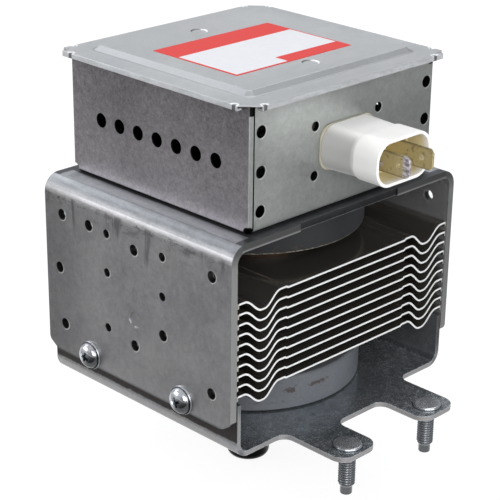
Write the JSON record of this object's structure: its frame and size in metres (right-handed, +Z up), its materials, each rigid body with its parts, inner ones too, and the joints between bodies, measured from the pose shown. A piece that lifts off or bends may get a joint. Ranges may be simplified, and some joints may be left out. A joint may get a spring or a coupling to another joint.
{
  "type": "magnetron",
  "caption": "Cooker magnetron: a vacuum tube between ring magnets in a folded steel yoke, with cooling fins, a filter box with tab terminals on top and an antenna below.",
  "frame": {"origin": "on the antenna's axis, at the underside of the lower yoke, the face that meets the waveguide", "axes": "+Z up, from the antenna to the filter box; -Y towards the terminals; X across the yoke's side plates"},
  "size_m": [0.1006, 0.1274, 0.1354],
  "materials": {
    "yoke_steel": "zinc plated sheet, satin",
    "lower_yoke_steel": "zinc plated sheet, glossy",
    "bright_zinc": "bright zinc plated",
    "ferrite_magnet": "matt, ground",
    "copper": "bare copper",
    "tube_steel": "nickel plated",
    "cathode_metal": "tungsten and molybdenum, matt",
    "white_ceramic": "matt alumina",
    "pink_ceramic": "matt alumina",
    "cap_steel": "dark stainless",
    "gasket_mesh": "knitted wire",
    "fin_aluminium": "bright rolled sheet",
    "box_steel": "galvanised sheet, fine spangle",
    "lid_steel": "galvanised sheet, satin",
    "label_film": "printed film, plain fields of colour",
    "housing_plastic": "moulded, warm white",
    "seal_rubber": "beige",
    "capacitor_ceramic": "matt",
    "capacitor_plastic": "moulded",
    "terminal_brass": "tinned",
    "enamelled_copper": "enamelled copper wire",
    "ferrite_core": "matt ferrite"
  },
  "bodies": {
    "root": {"upper_yoke": "yoke_steel", "lower_yoke": "lower_yoke_steel", "yoke_screws": "bright_zinc", "mounting_studs": "bright_zinc", "upper_magnet": "ferrite_magnet", "lower_magnet": "ferrite_magnet", "anode_cylinder": "copper", "anode_vanes": "copper", "strap_rings": "copper", "upper_pole_piece": "tube_steel", "lower_pole_piece": "tube_steel", "input_sleeve": "tube_steel", "output_sleeve": "tube_steel", "filament": "cathode_metal", "upper_end_hat": "cathode_metal", "lower_end_hat": "cathode_metal", "centre_lead": "cathode_metal", "side_lead": "cathode_metal", "stem_ceramic": "white_ceramic", "stem_terminal_left": "terminal_brass", "stem_terminal_right": "terminal_brass", "antenna_lead": "copper", "antenna_ceramic": "pink_ceramic", "exhaust_tube": "copper", "antenna_cap": "cap_steel", "mesh_gasket": "gasket_mesh", "filter_box": "box_steel", "filter_lid": "lid_steel", "rating_label": "label_film", "terminal_housing": "housing_plastic", "seal_ring": "seal_rubber", "ground_plate": "box_steel", "capacitor_ceramic": "capacitor_ceramic", "capacitor_case": "capacitor_plastic", "terminal_left": "terminal_brass", "terminal_right": "terminal_brass", "choke_coil_left": "enamelled_copper", "choke_coil_right": "enamelled_copper", "ferrite_core_left": "ferrite_core", "ferrite_core_right": "ferrite_core", "fin_1": "fin_aluminium", "fin_2": "fin_aluminium", "fin_3": "fin_aluminium", "fin_4": "fin_aluminium", "fin_5": "fin_aluminium", "fin_6": "fin_aluminium", "fin_7": "fin_aluminium", "fin_8": "fin_aluminium", "fin_9": "fin_aluminium", "fin_10": "fin_aluminium"}
  },
  "joints": []
}
